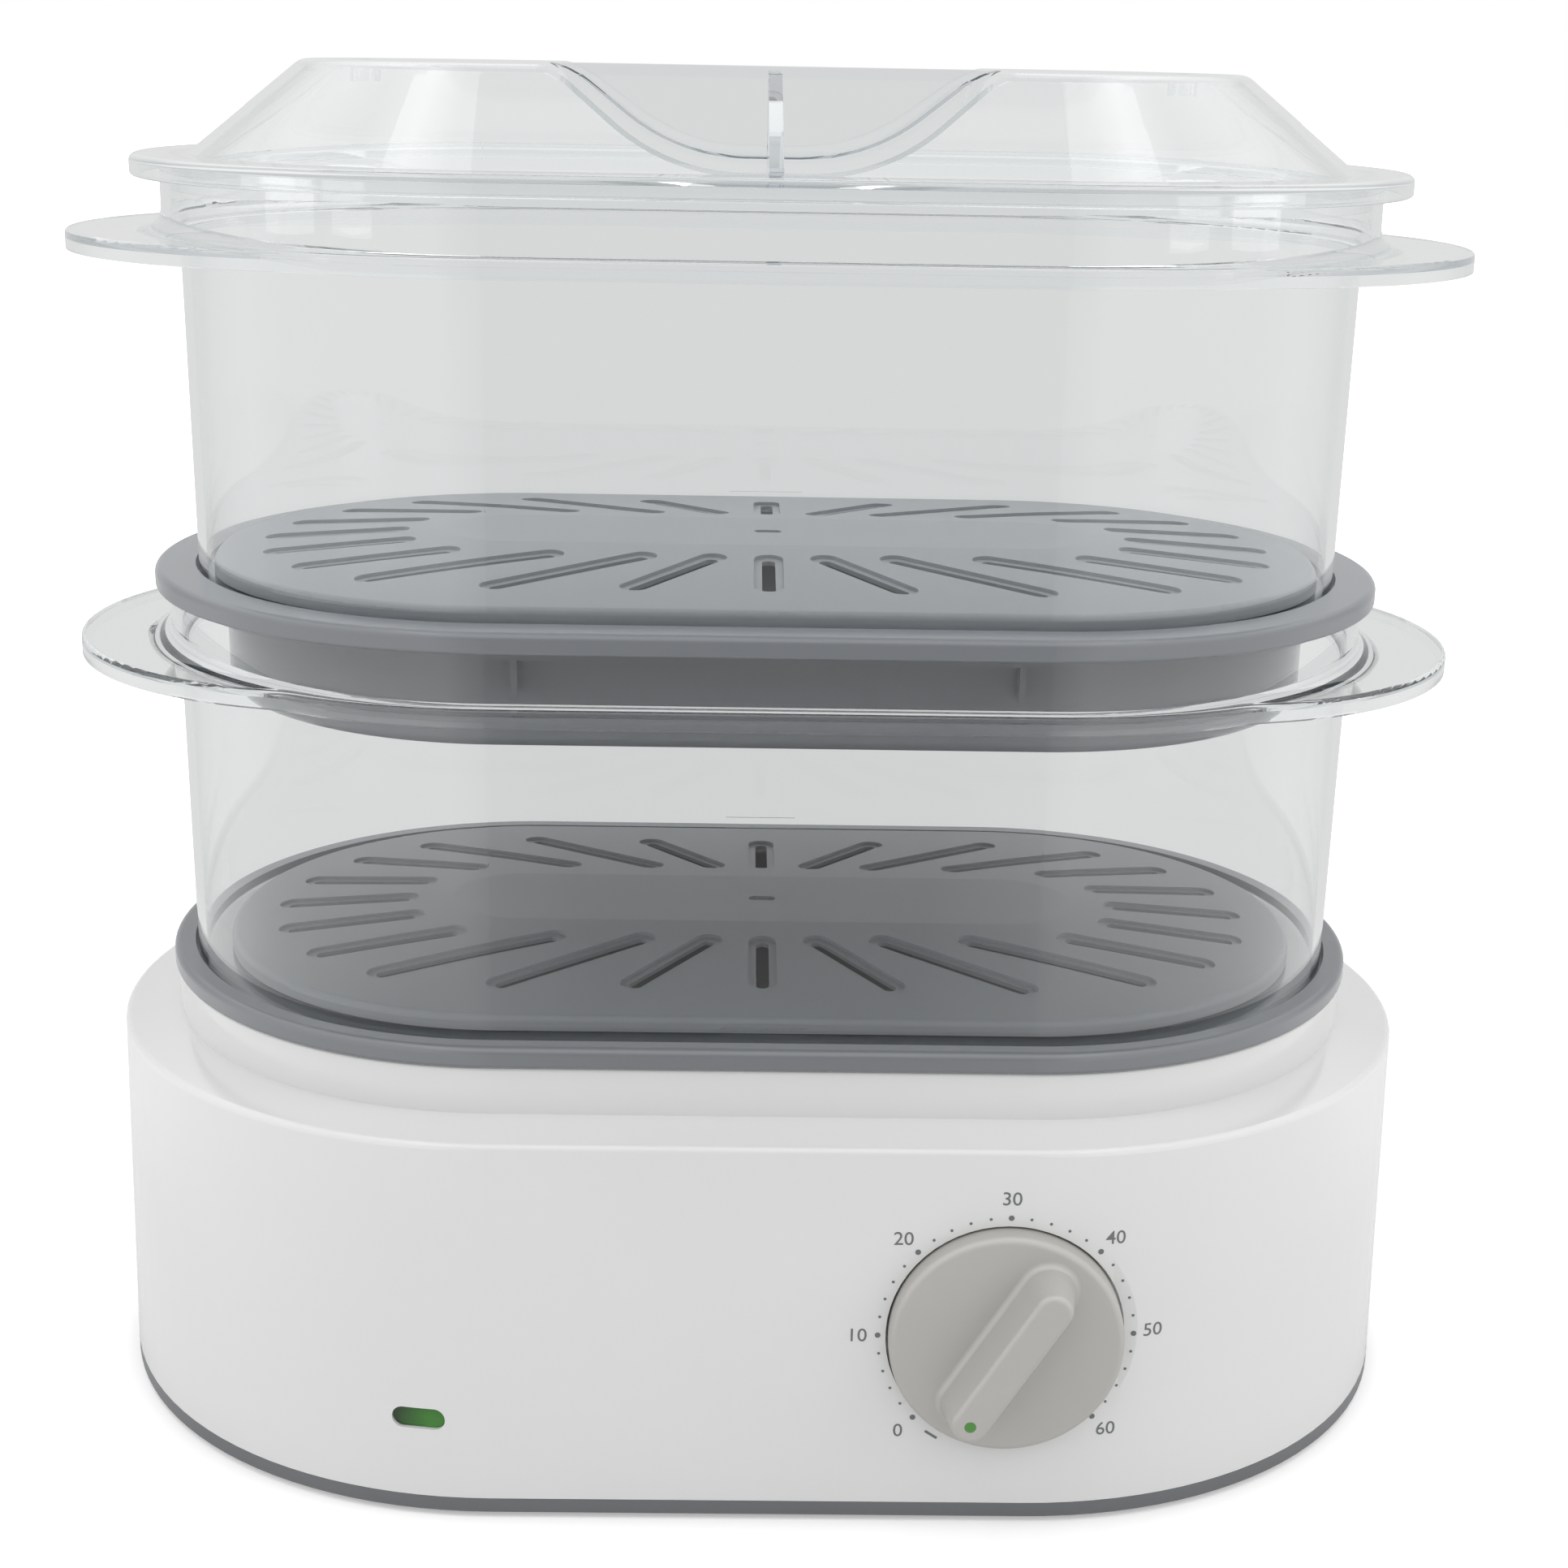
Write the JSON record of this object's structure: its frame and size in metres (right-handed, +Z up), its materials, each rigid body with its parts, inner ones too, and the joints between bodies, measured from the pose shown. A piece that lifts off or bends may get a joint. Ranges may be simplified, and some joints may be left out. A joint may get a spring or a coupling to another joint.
{
  "type": "electric food steamer",
  "caption": "Oblong electric food steamer: white base with a timer knob, stacked clear baskets on grey drip trays, grey slotted plates and a clear lid with finger scoops.",
  "frame": {"origin": "centre of the middle foot's sole, on the table under the middle of the housing", "axes": "+X to the cook's right along the long side, +Y to the back, away from the knob, +Z up"},
  "size_m": [0.3426, 0.2249, 0.3302],
  "materials": {
    "white_gloss": "polished white moulding",
    "base_grey": "fine-textured grey moulding",
    "rubber": "matt",
    "screw_steel": "zinc-plated",
    "tank_white": "smooth white moulding",
    "heater_steel": "drawn stainless sheet",
    "silicone": "matt silicone",
    "clamp_aluminium": "punched sheet",
    "element_sheath": "heat-tinted sheath",
    "thermostat_can": "drawn can",
    "fuse_body": "crimped can",
    "timer_plastic": "natural moulding",
    "bell_steel": "nickel-plated",
    "lens_green": "clear green moulding",
    "lamp_glass": "small neon bulb",
    "gland_rubber": "matt light grey",
    "clamp_plastic": "moulded",
    "terminal_plastic": "moulded",
    "lead_insulation": "sleeved",
    "knob_satin": "satin metallic paint on plastic",
    "marker_green": "inset dot",
    "shaft_steel": "turned",
    "tray_grey": "smooth grey moulding",
    "plate_grey": "satin grey moulding",
    "clear_plastic": "polished clear moulding"
  },
  "bodies": {
    "base": {"base_housing": "white_gloss", "bottom_cover": "base_grey", "rubber_feet": "rubber", "cover_screws": "screw_steel", "water_tank": "tank_white", "heater_dish": "heater_steel", "heater_gasket": "silicone", "heater_clamp": "clamp_aluminium", "heater_screws": "screw_steel", "heating_element": "element_sheath", "thermostat": "thermostat_can", "thermal_fuse": "fuse_body", "timer_case": "timer_plastic", "timer_bell": "bell_steel", "timer_screws": "screw_steel", "indicator_lens": "lens_green", "indicator_lamp": "lamp_glass", "cable_gland": "gland_rubber", "cord_clamp": "clamp_plastic", "clamp_screws": "screw_steel", "terminal_block": "terminal_plastic", "heater_leads": "lead_insulation", "timer_leads": "lead_insulation"},
    "timer_knob": {"timer_knob": "knob_satin", "knob_marker": "marker_green", "timer_shaft": "shaft_steel"},
    "steam_ring": {"steam_ring": "tank_white"},
    "lower_drip_tray": {"lower_drip_tray": "tray_grey", "lower_chimney": "tray_grey"},
    "lower_basket": {"lower_basket": "clear_plastic"},
    "lower_plate": {"lower_plate": "plate_grey"},
    "upper_drip_tray": {"upper_drip_tray": "tray_grey", "upper_chimney": "tray_grey"},
    "upper_basket": {"upper_basket": "clear_plastic"},
    "upper_plate": {"upper_plate": "plate_grey"},
    "lid": {"lid": "clear_plastic"}
  },
  "joints": [
    {"name": "timer_turn", "type": "hinge", "parent": "base", "child": "timer_knob", "pos_m": [0.0572, -0.0999, 0.0486], "axis": [0, 1, 0], "range_deg": [0, 283]},
    {"name": "steam_ring_lift", "type": "slide", "parent": "base", "child": "steam_ring", "axis": [0, 0, 1], "range_m": [0, 0.035]},
    {"name": "lower_drip_tray_lift", "type": "slide", "parent": "base", "child": "lower_drip_tray", "axis": [0, 0, 1], "range_m": [0, 0.06]},
    {"name": "lower_basket_lift", "type": "slide", "parent": "lower_drip_tray", "child": "lower_basket", "axis": [0, 0, 1], "range_m": [0, 0.05]},
    {"name": "lower_plate_lift", "type": "slide", "parent": "lower_basket", "child": "lower_plate", "axis": [0, 0, 1], "range_m": [0, 0.05]},
    {"name": "upper_drip_tray_lift", "type": "slide", "parent": "lower_basket", "child": "upper_drip_tray", "axis": [0, 0, 1], "range_m": [0, 0.06]},
    {"name": "upper_basket_lift", "type": "slide", "parent": "upper_drip_tray", "child": "upper_basket", "axis": [0, 0, 1], "range_m": [0, 0.05]},
    {"name": "upper_plate_lift", "type": "slide", "parent": "upper_basket", "child": "upper_plate", "axis": [0, 0, 1], "range_m": [0, 0.07]},
    {"name": "lid_lift", "type": "slide", "parent": "upper_basket", "child": "lid", "axis": [0, 0, 1], "range_m": [0, 0.06]}
  ]
}
